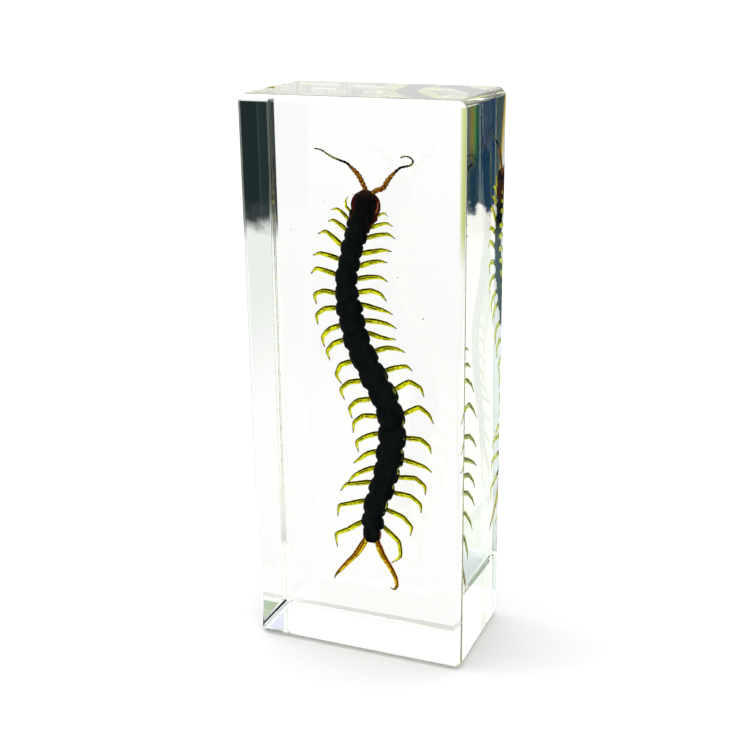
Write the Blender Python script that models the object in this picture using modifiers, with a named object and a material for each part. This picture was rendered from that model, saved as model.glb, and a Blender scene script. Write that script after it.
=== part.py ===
# A centipede cast in a block of clear resin that stands on one of its two small ends.
# Metres, +Z up, origin at the middle of the base. The centipede's back faces -Y, its head is up.
# The resin is parted in two on an upright plane through the specimen, which lies in a pocket
# of its own outline: a channel for the trunk, a slot for each leg and each feeler. The trunk
# bows towards the front in the middle, and the right legs hang back further than the left ones.

import math

import bmesh
import bpy
import numpy as np
from mathutils import Matrix, Vector

MM = 0.001

BLOCK_WIDTH = 44.0 * MM
BLOCK_DEPTH = 25.4 * MM
BLOCK_HEIGHT = 110.0 * MM
BLOCK_EDGE = 1.4 * MM            # width of the softened edges
EDGE_STEPS = 3

PARTING_Y = -2.4 * MM            # the plane on which the resin is parted
PARTING_GAP = 0.3 * MM           # space left between the two halves
PARTING_REACH = 0.45 * MM        # how far each slot at least reaches past that plane, on both sides
CLEARANCE = 0.35 * MM            # room round the specimen in its pocket
TIP_ROOM = 0.5 * MM              # room past the tip of each limb

TRUNK_START = -1.2 * MM          # measured down the back, from behind the head
TRUNK_LENGTH = 70.3 * MM
TRUNK_RISE = 1.5 * MM            # from the middle of its thickness to the back, towards -Y
TRUNK_DROP = 1.1 * MM            # from there to the belly, towards +Y
TRUNK_SIDES = 10
CHANNEL_SIDES = 8
CHANNEL_RINGS = 18
CHANNEL_START = -2.0 * MM
CHANNEL_PAST_END = 0.6 * MM
CHANNEL_EXTRA = 0.25 * MM        # its walls are flat between few corners, so they stand off further

# The width along one back plate, as (share of the plate's length, share of the trunk's width),
# and at the trunk's end, as (distance before the end, share of the width).
PLATE_WIDTHS = ((0.0, 0.90), (0.22, 1.0), (0.85, 1.02))
END_WIDTHS = ((0.9 * MM, 0.96), (0.0, 0.62))
CHANNEL_WIDTH = 1.02

HEAD_CENTRE = Vector((0.4, -0.9, 89.6)) * MM
HEAD_SIZE = Vector((5.7, 2.3, 5.6)) * MM
HEAD_ROOM = Vector((2.6, 2.2, 2.0)) * MM      # how much larger its pocket is, with the venom claws

LEG_ROOT_DROP = 0.4 * MM         # the legs grow this far behind the middle of the trunk's thickness
LEG_START = 0.6                  # how far inside the trunk they begin, as a share of its half width
LEG_SHARES = (0.38, 0.32, 0.30)  # thigh, shin and foot, as shares of a leg's length
LEG_RADII = (0.40, 0.38, 0.33, 0.24, 0.06)   # from inside the trunk to the tip, millimetres
TAIL_LEG_RADII = (0.56, 0.56, 0.48, 0.34, 0.10)
SLOT_DEPTH_STEP = 0.06 * MM      # neighbouring slots differ in depth, so where they cross no edges meet

# Depth of the tips of the legs, as (millimetres down the back, y in millimetres).
LEFT_TIPS = ((0, -0.4), (12, -1.2), (20, -1.5), (27, -2.1), (33, -2.7), (42, -3.2), (50, -2.6), (55, -0.8),
             (62, -1.2), (70, -0.8))
RIGHT_TIPS = ((0, 2.0), (5, 1.6), (9, 1.0), (17, 0.4), (23, 0.7), (29, 1.1), (35, 1.8), (44, 2.6), (52, 3.0),
              (58, 3.8), (62, 4.0), (66, 3.6), (70, 2.4))

FEELER_RADIUS = 0.42 * MM
FEELER_TIP_SHARE = 0.3

# The middle of the trunk, from behind the head to past the tail, as (x, y, z) in millimetres.
BACK_LINE = (
    (-0.3, -1.0, 88.0), (-2.55, -1.3, 80.0), (-3.45, -1.8, 74.5), (-2.5, -2.5, 68.5), (-0.6, -3.2, 62.6),
    (2.3, -3.5, 57.0), (5.1, -3.3, 51.3), (6.0, -3.0, 46.0), (5.25, -2.7, 40.2), (3.8, -2.5, 34.5),
    (2.1, -2.3, 29.5), (1.45, -2.2, 25.5), (1.1, -2.1, 19.0),
)

# Full width of the trunk, as (millimetres down the back, width in millimetres).
TRUNK_WIDTHS = ((0, 4.6), (8, 4.3), (14, 4.5), (19, 5.4), (30, 5.6), (46, 5.7), (56, 5.1), (65, 4.4),
                (70.3, 3.6))

# One row for each pair of legs: where it grows, in millimetres down the back, then for the left
# and the right leg its length in millimetres and the way that its thigh, shin and foot point,
# in degrees above straight out from the body.
LEG_PAIRS = (
    (0.4, (3.2, 35, 75, 115), (3.0, 40, 15, -45)),
    (2.0, (4.4, 45, 30, -15), (4.2, 20, 10, -30)),
    (4.0, (4.3, 35, 30, -15), (5.4, 15, 5, -35)),
    (7.2, (6.0, 40, 35, -20), (5.4, 10, 10, -10)),
    (9.8, (5.7, 15, 10, -20), (5.3, 20, 10, -10)),
    (12.6, (6.0, 15, 10, -45), (5.9, 10, 0, -30)),
    (15.7, (6.7, 5, -25, -100), (6.1, 10, -20, -55)),
    (18.3, (7.0, -10, -40, -95), (6.1, -15, -15, -25)),
    (21.6, (7.1, -25, -50, -100), (6.0, -5, -15, -30)),
    (24.3, (6.8, -25, -50, -105), (5.0, -25, -15, -5)),
    (28.3, (7.3, -25, -65, -120), (5.4, 15, -10, -30)),
    (32.5, (7.6, -15, -45, -110), (5.0, 15, 5, -50)),
    (36.5, (7.7, -15, -45, -105), (7.4, 30, -35, -80)),
    (40.9, (7.8, -5, -40, -85), (7.5, 25, -45, -75)),
    (45.2, (7.6, -20, -35, -100), (6.5, -10, -50, -85)),
    (49.5, (6.2, -20, -40, -40), (6.0, -25, -30, -50)),
    (53.3, (7.5, -25, -35, -50), (7.8, -5, -50, -95)),
    (56.8, (8.1, -15, -15, -50), (8.2, -15, -50, -95)),
    (61.1, (8.9, -20, -20, -80), (8.9, -30, -60, -105)),
    (65.4, (10.3, -35, -30, -95), (11.7, -50, -90, -135)),
    (69.2, (11.3, -60, -55, -50), (10.9, -85, -65, -85)),
)

# Each feeler from the head to its tip, as (x, y, z) in millimetres.
LEFT_FEELER = (
    (-0.1, -0.6, 91.2), (-0.5, -0.6, 94.2), (-1.7, -0.6, 96.4), (-3.0, -0.6, 97.4), (-5.2, -0.6, 97.9),
    (-6.7, -0.6, 98.4), (-8.2, -0.6, 99.4), (-9.8, -0.6, 99.7),
)
RIGHT_FEELER = (
    (1.0, -0.6, 91.2), (2.5, -0.5, 92.4), (3.8, -0.3, 92.9), (4.7, 0.2, 94.4), (5.8, 0.8, 95.7), (6.8, 1.3, 96.6),
    (8.6, 2.6, 97.1), (8.9, 3.0, 97.8), (8.4, 2.4, 98.5), (7.0, 0.6, 98.5),
)
CURL_START = 6                   # from this point on the right feeler curls up, in a round pocket
CURL_CENTRE = Vector((7.9, 0.0, 97.8)) * MM
CURL_ROOM = 2.0 * MM

# The venom claw on the right, under the head, as (x, y, z) in millimetres from the middle of the
# head. The left one mirrors it. Both lie in one round pocket.
VENOM_CLAW = ((1.4, 0.75, -3.7), (2.5, 0.85, -2.4), (2.8, 0.85, -0.4), (2.0, 1.05, 1.4), (0.7, 1.25, 2.0))
VENOM_CLAW_RADII = (0.55, 0.65, 0.55, 0.35, 0.08)
CLAWS_CENTRE = HEAD_CENTRE - Vector((0.0, 0.0, 1.15)) * MM
CLAWS_ROOM = 4.3 * MM

SAME_POINT = 0.002 * MM          # corners closer than this are one
CUTTER_MARGIN = 5 * MM


def clear_scene():
    for scene_object in list(bpy.data.objects):
        bpy.data.objects.remove(scene_object, do_unlink=True)


def new_collection(name):
    collection = bpy.data.collections.new(name)
    bpy.context.scene.collection.children.link(collection)
    return collection


def new_material(name, colour, roughness, metallic=0.0, transmission=0.0):
    material = bpy.data.materials.new(name)
    material.use_nodes = True
    shader = material.node_tree.nodes["Principled BSDF"]
    shader.inputs["Base Color"].default_value = (*colour, 1.0)
    shader.inputs["Roughness"].default_value = roughness
    shader.inputs["Metallic"].default_value = metallic
    shader.inputs["Transmission Weight"].default_value = transmission
    return material


def as_guide(scene_object):
    scene_object.hide_render = True
    scene_object.display_type = "WIRE"


def unit(step):
    return step / np.linalg.norm(step)


class SmoothLine:
    """A smooth line through points given in millimetres, read by the distance along it.
    Past its ends it runs straight on."""

    def __init__(self, points_mm, samples=40, run_on=5 * MM):
        points = [np.array(point, float) * MM for point in points_mm]
        padded = [2 * points[0] - points[1], *points, 2 * points[-1] - points[-2]]
        line = []
        for before, start, end, after in zip(padded, padded[1:], padded[2:], padded[3:]):
            for t in np.linspace(0, 1, samples, endpoint=False):
                line.append(0.5 * (2 * start + (end - before) * t
                                   + (2 * before - 5 * start + 4 * end - after) * t ** 2
                                   + (3 * start - before - 3 * end + after) * t ** 3))
        line.append(points[-1])
        line.insert(0, line[0] + run_on * unit(line[0] - line[1]))
        line.append(line[-1] + run_on * unit(line[-1] - line[-2]))
        self.line = np.array(line)
        steps = np.linalg.norm(np.diff(self.line, axis=0), axis=1)
        self.distance = np.concatenate(([0.0], np.cumsum(steps))) - run_on

    def at(self, distance):
        return np.array([np.interp(distance, self.distance, axis) for axis in self.line.T])

    def direction(self, distance, reach=0.3 * MM):
        return unit(self.at(distance + reach) - self.at(distance - reach))


back = SmoothLine(BACK_LINE)


def half_width(distance):
    stations, widths = np.array(TRUNK_WIDTHS).T * MM
    return np.interp(distance, stations, widths) / 2


def across(distance):
    """The sideways direction at a place on the back, pointing to +X."""
    along_x, _, along_z = back.direction(distance)
    return Vector((-along_z, 0.0, along_x)).normalized()


def trunk_ring(distance, width_share, grow, sides=TRUNK_SIDES):
    """One closed ring of points round the trunk, a flattened oval with a higher back."""
    centre = Vector(back.at(distance))
    side = across(distance)
    half = half_width(distance) * width_share + grow
    ring = []
    for step in range(sides):
        angle = 2 * math.pi * step / sides
        height = (TRUNK_RISE if math.sin(angle) > 0 else TRUNK_DROP) * width_share + grow
        ring.append(centre + side * half * math.cos(angle) - Vector((0, 1, 0)) * height * math.sin(angle))
    return ring


def loft(name, rings):
    """A closed skin over rings of equal count, with a flat cap at each end."""
    shape = bmesh.new()
    ring_points = [[shape.verts.new(point) for point in ring] for ring in rings]
    count = len(rings[0])
    for ring, following in zip(ring_points, ring_points[1:]):
        for step in range(count):
            after = (step + 1) % count
            shape.faces.new((ring[step], ring[after], following[after], following[step]))
    shape.faces.new(list(reversed(ring_points[0])))
    shape.faces.new(ring_points[-1])
    bmesh.ops.recalc_face_normals(shape, faces=shape.faces)
    mesh = bpy.data.meshes.new(name)
    shape.to_mesh(mesh)
    shape.free()
    return bpy.data.objects.new(name, mesh)


def plate_edges():
    """Where one back plate ends and the next begins: midway between neighbouring pairs of legs."""
    places = [pair[0] * MM for pair in LEG_PAIRS]
    middles = [(place + following) / 2 for place, following in zip(places, places[1:])]
    return [TRUNK_START, *middles, TRUNK_LENGTH]


def make_trunk(name):
    rings = []
    edges = plate_edges()
    for start, end in zip(edges, edges[1:]):
        for share, width in PLATE_WIDTHS:
            rings.append(trunk_ring(start + share * (end - start), width, 0.0))
    rings.pop()
    for before_end, width in END_WIDTHS:
        rings.append(trunk_ring(TRUNK_LENGTH - before_end, width, 0.0))
    return loft(name, rings)


def make_trunk_room(name):
    """The channel for the trunk: the same form, plainer and larger by the clearance."""
    places = np.linspace(CHANNEL_START, TRUNK_LENGTH + CHANNEL_PAST_END, CHANNEL_RINGS)
    grow = CLEARANCE + CHANNEL_EXTRA
    return loft(name, [trunk_ring(place, CHANNEL_WIDTH, grow, CHANNEL_SIDES) for place in places])


def mesh_from_curve(name, curve, placement=Matrix.Identity(4)):
    """A curve made a closed mesh object, its caps welded to its wall."""
    carrier = bpy.data.objects.new(name + "_curve", curve)
    bpy.context.scene.collection.objects.link(carrier)
    carrier.matrix_world = placement
    bpy.context.view_layer.update()
    evaluated = carrier.evaluated_get(bpy.context.evaluated_depsgraph_get())
    mesh = bpy.data.meshes.new_from_object(evaluated)
    mesh.name = name
    shape = bmesh.new()
    shape.from_mesh(mesh)
    bmesh.ops.remove_doubles(shape, verts=shape.verts, dist=SAME_POINT)
    bmesh.ops.recalc_face_normals(shape, faces=shape.faces)
    shape.to_mesh(mesh)
    shape.free()
    made = bpy.data.objects.new(name, mesh)
    made.matrix_world = placement
    bpy.data.objects.remove(carrier, do_unlink=True)
    return made


def make_tube(name, points, radii):
    """A tapering limb along a few points, with filled ends."""
    curve = bpy.data.curves.new(name, "CURVE")
    curve.dimensions = "3D"
    curve.bevel_depth = 1.0
    curve.bevel_resolution = 1
    curve.use_fill_caps = True
    spline = curve.splines.new("POLY")
    spline.points.add(len(points) - 1)
    for control, point, radius in zip(spline.points, points, radii):
        control.co = (*point, 1.0)
        control.radius = radius
    return mesh_from_curve(name, curve)


def pocket_depth(points, radius, deeper=0.0):
    """From where to where in y a pocket goes that holds a limb and opens onto the parting plane."""
    room = radius + CLEARANCE
    front = min(min(point.y for point in points) - room, PARTING_Y - PARTING_REACH)
    behind = max(max(point.y for point in points) + room, PARTING_Y + PARTING_REACH)
    return front - deeper, behind + deeper


def upright_at(x, y, z):
    """Turns a flat shape to stand in the plane of the specimen, with its thickness along Y."""
    return Matrix.Translation((x, y, z)) @ Matrix.Rotation(math.pi / 2, 4, "X")


def make_slot(name, points, radius, deeper=0.0):
    """A slot along a limb, as wide as its thickest place with the clearance."""
    front, behind = pocket_depth(points, radius, deeper)
    curve = bpy.data.curves.new(name, "CURVE")
    curve.dimensions = "2D"
    curve.fill_mode = "NONE"
    curve.extrude = (behind - front) / 2
    spline = curve.splines.new("POLY")
    spline.points.add(len(points) - 1)
    for control, point in zip(spline.points, points):
        control.co = (point.x, point.z, 0.0, 1.0)
    slot = mesh_from_curve(name, curve, upright_at(0, (front + behind) / 2, 0))
    wall = slot.modifiers.new("width", "SOLIDIFY")
    wall.thickness = 2 * (radius + CLEARANCE)
    wall.offset = 0.0
    wall.use_even_offset = True
    return slot


def make_disc(name, centre, radius, limb, limb_radius, deeper):
    """A short round pocket round a limb, upright like the slots."""
    front, behind = pocket_depth(limb, limb_radius, deeper)
    shape = bmesh.new()
    place = upright_at(centre.x, (front + behind) / 2, centre.z)
    bmesh.ops.create_cone(shape, cap_ends=True, segments=12, radius1=radius, radius2=radius,
                          depth=behind - front, matrix=place)
    mesh = bpy.data.meshes.new(name)
    shape.to_mesh(mesh)
    shape.free()
    return bpy.data.objects.new(name, mesh)


def with_room_at_tip(points):
    """The same points, the last one moved on."""
    return [*points[:-1], points[-1] + (points[-1] - points[-2]).normalized() * TIP_ROOM]


def tip_depth(place, tips):
    stations, depths = np.array(tips).T * MM
    return np.interp(place, stations, depths)


def leg_points(place, side, length, directions):
    """From inside the trunk over the hip, knee and ankle to the tip. side is -1 left, 1 right."""
    outward = across(place) * side
    half = half_width(place)
    hip = Vector(back.at(place)) + outward * half
    hip.y += LEG_ROOT_DROP
    tip_y = tip_depth(place, RIGHT_TIPS if side > 0 else LEFT_TIPS)
    points = [hip - outward * half * LEG_START, hip]
    travelled = 0.0
    for share, degrees in zip(LEG_SHARES, directions):
        angle = math.radians(degrees)
        step = length * share
        travelled += share
        point = points[-1] + Vector((side * math.cos(angle), 0, math.sin(angle))) * step
        point.y = hip.y + (tip_y - hip.y) * travelled
        points.append(point)
    return points


def make_legs(limbs, room):
    """Every leg and the slot that it needs in the resin."""
    for number, (place, left, right) in enumerate(LEG_PAIRS, 1):
        is_tail = number == len(LEG_PAIRS)
        radii = [radius * MM for radius in (TAIL_LEG_RADII if is_tail else LEG_RADII)]
        deeper = (number % 3) * SLOT_DEPTH_STEP
        for word, side, (length, *directions) in (("left", -1, left), ("right", 1, right)):
            points = leg_points(place * MM, side, length * MM, directions)
            limbs.objects.link(make_tube(f"leg_{word}_{number}", points, radii))
            slot = make_slot(f"slot_{word}_{number}", with_room_at_tip(points), radii[1], deeper)
            room.objects.link(slot)


def make_feelers(limbs, room):
    """Both feelers and their slots, with a round pocket for the curl at the end of the right one."""
    for word, points_mm in (("left", LEFT_FEELER), ("right", RIGHT_FEELER)):
        points = [Vector(point) * MM for point in points_mm]
        shares = np.linspace(1.0, FEELER_TIP_SHARE, len(points))
        limbs.objects.link(make_tube(f"feeler_{word}", points, [FEELER_RADIUS * share for share in shares]))
        along_slot = with_room_at_tip(points) if word == "left" else points[:CURL_START]
        room.objects.link(make_slot(f"slot_feeler_{word}", along_slot, FEELER_RADIUS))
    room.objects.link(make_disc("slot_feeler_curl", CURL_CENTRE, CURL_ROOM, points[CURL_START:], FEELER_RADIUS,
                                SLOT_DEPTH_STEP))


def make_venom_claws(limbs, room):
    """Both claws under the head, and the round pocket that they share."""
    for word, side in (("left", -1), ("right", 1)):
        points = [HEAD_CENTRE + Vector((side * x, y, z)) * MM for x, y, z in VENOM_CLAW]
        limbs.objects.link(make_tube(f"venom_claw_{word}", points, [r * MM for r in VENOM_CLAW_RADII]))
    room.objects.link(make_disc("venom_claw_room", CLAWS_CENTRE, CLAWS_ROOM, points, VENOM_CLAW_RADII[1] * MM,
                                4 * SLOT_DEPTH_STEP))


def make_oval(name, centre, size, u_segments, v_segments):
    shape = bmesh.new()
    stretch = Matrix.Translation(centre) @ Matrix.Diagonal((*size, 1.0))
    bmesh.ops.create_uvsphere(shape, u_segments=u_segments, v_segments=v_segments, radius=0.5, matrix=stretch)
    mesh = bpy.data.meshes.new(name)
    shape.to_mesh(mesh)
    shape.free()
    return bpy.data.objects.new(name, mesh)


def add_boolean(scene_object, operation, collection=None, other=None):
    modifier = scene_object.modifiers.new(operation.lower(), "BOOLEAN")
    modifier.operation = operation
    modifier.solver = "EXACT"
    if collection:
        modifier.operand_type = "COLLECTION"
        modifier.collection = collection
    else:
        modifier.object = other


def make_box(name, low, high):
    shape = bmesh.new()
    size = Vector(high) - Vector(low)
    middle = (Vector(high) + Vector(low)) / 2
    bmesh.ops.create_cube(shape, size=1.0, matrix=Matrix.Translation(middle) @ Matrix.Diagonal((*size, 1.0)))
    mesh = bpy.data.meshes.new(name)
    shape.to_mesh(mesh)
    shape.free()
    return bpy.data.objects.new(name, mesh)


def make_half(name, keep_front, room, cutters, material):
    """The whole block with softened edges, less the other half and less the pocket."""
    low = (-BLOCK_WIDTH / 2, -BLOCK_DEPTH / 2, 0)
    high = (BLOCK_WIDTH / 2, BLOCK_DEPTH / 2, BLOCK_HEIGHT)
    half = make_box(name, low, high)
    bevel = half.modifiers.new("softened edges", "BEVEL")
    bevel.width = BLOCK_EDGE
    bevel.segments = EDGE_STEPS

    near = PARTING_Y - PARTING_GAP / 2 if keep_front else -BLOCK_DEPTH / 2 - CUTTER_MARGIN
    far = BLOCK_DEPTH / 2 + CUTTER_MARGIN if keep_front else PARTING_Y + PARTING_GAP / 2
    side = BLOCK_WIDTH / 2 + CUTTER_MARGIN
    top = BLOCK_HEIGHT + CUTTER_MARGIN
    other_half = make_box(name + "_parting", (-side, near, -CUTTER_MARGIN), (side, far, top))
    cutters.objects.link(other_half)
    as_guide(other_half)

    add_boolean(half, "DIFFERENCE", other=other_half)
    add_boolean(half, "DIFFERENCE", collection=room)
    half.data.materials.append(material)
    return half


def build():
    clear_scene()
    block = new_collection("centipede_in_resin_block")
    limbs = new_collection("limbs")
    room = new_collection("pocket")
    cutters = new_collection("cutters")

    resin = new_material("clear_resin", (0.95, 0.97, 0.94), 0.03, transmission=1.0)
    shell = new_material("dark_shell", (0.010, 0.014, 0.013), 0.28)

    make_legs(limbs, room)
    make_feelers(limbs, room)
    make_venom_claws(limbs, room)
    limbs.objects.link(make_oval("head", HEAD_CENTRE, HEAD_SIZE, 14, 8))
    room.objects.link(make_oval("head_room", HEAD_CENTRE, HEAD_SIZE + HEAD_ROOM, 10, 7))
    room.objects.link(make_trunk_room("trunk_room"))
    for guide in (*limbs.objects, *room.objects):
        as_guide(guide)

    centipede = make_trunk("centipede")
    centipede.data.materials.append(shell)
    add_boolean(centipede, "UNION", collection=limbs)
    block.objects.link(centipede)

    block.objects.link(make_half("resin_front", True, room, cutters, resin))
    block.objects.link(make_half("resin_back", False, room, cutters, resin))


build()
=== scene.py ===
# The looks of a centipede cast in a clear resin block: the resin, the specimen in it, and a pale studio.
# Sizes are in millimetres unless a note says otherwise. x is to the right, -y towards the viewer, z up.

import math

import bmesh
import bpy
import numpy as np
from mathutils import Matrix, Vector


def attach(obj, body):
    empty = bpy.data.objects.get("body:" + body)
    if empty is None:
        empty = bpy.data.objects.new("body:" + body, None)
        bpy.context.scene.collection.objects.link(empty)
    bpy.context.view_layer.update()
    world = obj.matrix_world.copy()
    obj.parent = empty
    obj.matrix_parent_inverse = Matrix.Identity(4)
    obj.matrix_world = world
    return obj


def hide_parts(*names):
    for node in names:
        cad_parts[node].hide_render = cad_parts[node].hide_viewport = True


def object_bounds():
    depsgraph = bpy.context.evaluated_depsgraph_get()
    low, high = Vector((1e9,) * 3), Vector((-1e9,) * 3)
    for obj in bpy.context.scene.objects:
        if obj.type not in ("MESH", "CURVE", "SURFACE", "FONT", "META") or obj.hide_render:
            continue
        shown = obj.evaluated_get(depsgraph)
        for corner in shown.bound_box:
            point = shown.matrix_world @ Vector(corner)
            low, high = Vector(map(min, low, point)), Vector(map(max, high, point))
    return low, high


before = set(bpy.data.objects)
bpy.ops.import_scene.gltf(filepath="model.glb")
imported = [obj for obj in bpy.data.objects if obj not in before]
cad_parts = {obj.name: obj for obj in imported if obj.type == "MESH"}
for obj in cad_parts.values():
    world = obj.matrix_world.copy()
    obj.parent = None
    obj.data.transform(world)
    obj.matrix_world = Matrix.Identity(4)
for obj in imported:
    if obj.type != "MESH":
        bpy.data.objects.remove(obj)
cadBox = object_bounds()
mm = 0.001
scene = bpy.context.scene


# Lines that the specimen follows

def unit(step):
    return step / np.linalg.norm(step)


def hump(value, middle, reach):
    # 1 at the middle, falling away to nothing on both sides
    return np.exp(-((value - middle) / reach) ** 2)


def lookUp(table, place):
    # the number at a place, from a table of places with their numbers
    places, numbers = np.array(table, float).T
    return np.interp(place, places, numbers)


class SmoothLine:
    # a line through points, read by the distance along it; past its ends it runs straight on,
    # and with a roundness of 0 it is straight between the points as well
    def __init__(self, points, roundness=1.0, perStretch=30, runOn=0.5):
        points = [np.array(point, float) for point in points]
        padded = [2 * points[0] - points[1], *points, 2 * points[-1] - points[-2]]
        line = []
        for before, start, end, after in zip(padded, padded[1:], padded[2:], padded[3:]):
            for t in np.linspace(0, 1, perStretch, endpoint=False):
                curved = 0.5 * (2 * start + (end - before) * t
                                + (2 * before - 5 * start + 4 * end - after) * t ** 2
                                + (3 * start - before - 3 * end + after) * t ** 3)
                straight = start + (end - start) * t
                line.append(straight + (curved - straight) * roundness)
        line.append(points[-1])
        line.insert(0, line[0] + runOn * unit(line[0] - line[1]))
        line.append(line[-1] + runOn * unit(line[-1] - line[-2]))
        self.line = np.array(line)
        steps = np.linalg.norm(np.diff(self.line, axis=0), axis=1)
        self.distance = np.concatenate(([0.0], np.cumsum(steps))) - runOn
        self.length = self.distance[-1] - runOn

    def at(self, distance):
        return np.stack([np.interp(distance, self.distance, axis) for axis in self.line.T], axis=-1)

    def direction(self, distance, reach=0.3):
        return unit(self.at(distance + reach) - self.at(distance - reach))


# Meshes made from rings of points

class Skin:
    # the points, faces and marks of one piece, gathered shape by shape; a mark is a number for each point
    def __init__(self, *markNames):
        self.points, self.faces = [], []
        self.marks = {name: [] for name in markNames}

    def addPoint(self, point, **marks):
        self.points.append(tuple(point))
        for name, values in self.marks.items():
            values.append(float(marks.get(name, 0.0)))
        return len(self.points) - 1

    def addRings(self, rings, **marks):
        # rings is counted along, around, then x y z; each mark is counted the same way or is one number
        rings = np.asarray(rings, float)
        along, around = rings.shape[:2]
        full = {name: np.broadcast_to(values, (along, around)) for name, values in marks.items()}
        rows = [len(self.points) + i * around for i in range(along)]
        for i in range(along):
            for j in range(around):
                self.addPoint(rings[i, j], **{name: values[i, j] for name, values in full.items()})
        for low, high in zip(rows, rows[1:]):
            for j in range(around):
                after = (j + 1) % around
                self.faces.append((low + j, low + after, high + after, high + j))
        for i, row in ((0, rows[0]), (-1, rows[-1])):
            # a fan around its middle closes each end
            endMarks = {name: values[i].mean() for name, values in full.items()}
            middle = self.addPoint(rings[i].mean(axis=0), **endMarks)
            for j in range(around):
                self.faces.append((row + j, row + (j + 1) % around, middle))

    def make(self, name, material, slot):
        mesh = bpy.data.meshes.new(name)
        mesh.from_pydata((np.array(self.points) * mm).tolist(), [], self.faces)
        for mark, values in self.marks.items():
            layer = mesh.attributes.new(mark, "FLOAT", "POINT")
            layer.data.foreach_set("value", np.array(values, np.float32))
        shape = bmesh.new()
        shape.from_mesh(mesh)
        bmesh.ops.recalc_face_normals(shape, faces=shape.faces)
        shape.to_mesh(mesh)
        shape.free()
        mesh.shade_smooth()
        mesh.materials.append(material)
        piece = bpy.data.objects.new(name, mesh)
        scene.collection.objects.link(piece)
        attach(piece, "root")
        print(f"made {name}: {len(self.faces)} faces")
        return piece


def addLimb(skin, points, radii, side=1, sides=12, **marks):
    # a tube along points; the mark outer is 1 on the side away from the bend, and front is 1 in front
    points = np.asarray(points, float)
    steps = np.gradient(points, axis=0)
    angles = np.linspace(0, 2 * math.pi, sides, endpoint=False)
    rings, fronts = [], []
    for point, step, radius in zip(points, steps, radii):
        forward = unit(step)
        outer = unit(np.array((-forward[2], 0.0, forward[0]))) * side
        depth = np.cross(forward, outer)
        rings.append([point + radius * (math.cos(a) * outer + math.sin(a) * depth) for a in angles])
        fronts.append(-np.sin(angles) * depth[1])
    skin.addRings(rings, outer=np.cos(angles)[None, :], front=np.array(fronts), **marks)


def addBall(skin, centre, radii, rows=9, sides=14, topDegrees=80, **marks):
    # a ball or an egg with a small flat cap above and below
    turns = np.linspace(0, 2 * math.pi, sides, endpoint=False)
    rings = []
    for level in np.radians(np.linspace(-topDegrees, topDegrees, rows)):
        width, height = math.cos(level), math.sin(level)
        ring = [(width * math.cos(turn), width * math.sin(turn), height) for turn in turns]
        rings.append(np.array(centre) + np.array(radii) * ring)
    skin.addRings(rings, **marks)


# Shader sums

class Wire:
    # a socket that takes part in sums; one with no socket only knows the tree that it adds nodes to
    def __init__(self, tree, socket=None):
        self.tree, self.socket = tree, socket

    def node(self, kind, settings=None, sockets=None, output=0):
        made = self.tree.nodes.new(kind)
        for name, value in (settings or {}).items():
            setattr(made, name, value)
        for name, value in (sockets or {}).items():
            if isinstance(value, Wire):
                self.tree.links.new(value.socket, made.inputs[name])
            elif isinstance(value, tuple) and len(value) == 3 and made.inputs[name].type == "RGBA":
                made.inputs[name].default_value = (*value, 1.0)
            else:
                made.inputs[name].default_value = value
        return Wire(self.tree, made.outputs[output])

    def math(self, operation, *values):
        return self.node("ShaderNodeMath", {"operation": operation}, dict(enumerate(values)))

    def __add__(self, other):
        return self.math("ADD", self, other)

    def __sub__(self, other):
        return self.math("SUBTRACT", self, other)

    def __rsub__(self, other):
        return self.math("SUBTRACT", other, self)

    def __mul__(self, other):
        return self.math("MULTIPLY", self, other)

    __radd__, __rmul__ = __add__, __mul__

    def ramp(self, low, high):
        # 0 below low, 1 above high, smooth between; low above high turns it round
        return self.node("ShaderNodeMapRange", {"interpolation_type": "SMOOTHSTEP"},
                         {"Value": self, "From Min": low, "From Max": high})

    def mark(self, name):
        return self.node("ShaderNodeAttribute", {"attribute_name": name}, output="Fac")

    def noise(self, perMetre, detail=3.0, rough=0.55):
        place = self.node("ShaderNodeTexCoord", output="Object")
        return self.node("ShaderNodeTexNoise", {},
                         {"Vector": place, "Scale": perMetre, "Detail": detail, "Roughness": rough})

    def mix(self, factor, first, second):
        # the colours of a Mix node are its sockets 6 and 7 and its output 2
        return self.node("ShaderNodeMix", {"data_type": "RGBA"}, {0: factor, 6: first, 7: second}, output=2)

    def bump(self, height, strength, distance):
        return self.node("ShaderNodeBump", {}, {"Height": height, "Strength": strength, "Distance": distance})


def newMaterial(name):
    material = bpy.data.materials.new(name)
    material.use_nodes = True
    material.node_tree.nodes.clear()
    return material, Wire(material.node_tree)


def showSurface(material, surface, volume=None):
    tree = material.node_tree
    output = tree.nodes.new("ShaderNodeOutputMaterial")
    tree.links.new(surface.socket, output.inputs["Surface"])
    if volume:
        tree.links.new(volume.socket, output.inputs["Volume"])
    return material


# The camera stands where the photograph was taken

camera = {
    "position": (90.7, -222.9, 135.8),
    "turn": 22.22,               # degrees, to the left of straight ahead
    "tip": 18.62,                # degrees, downwards
    "roll": -0.73,
    "focalPixels": 1287.5,
    "photoPixels": 750,
    "sensor": 36.0,
    "clipStart": 10.0,
}


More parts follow.
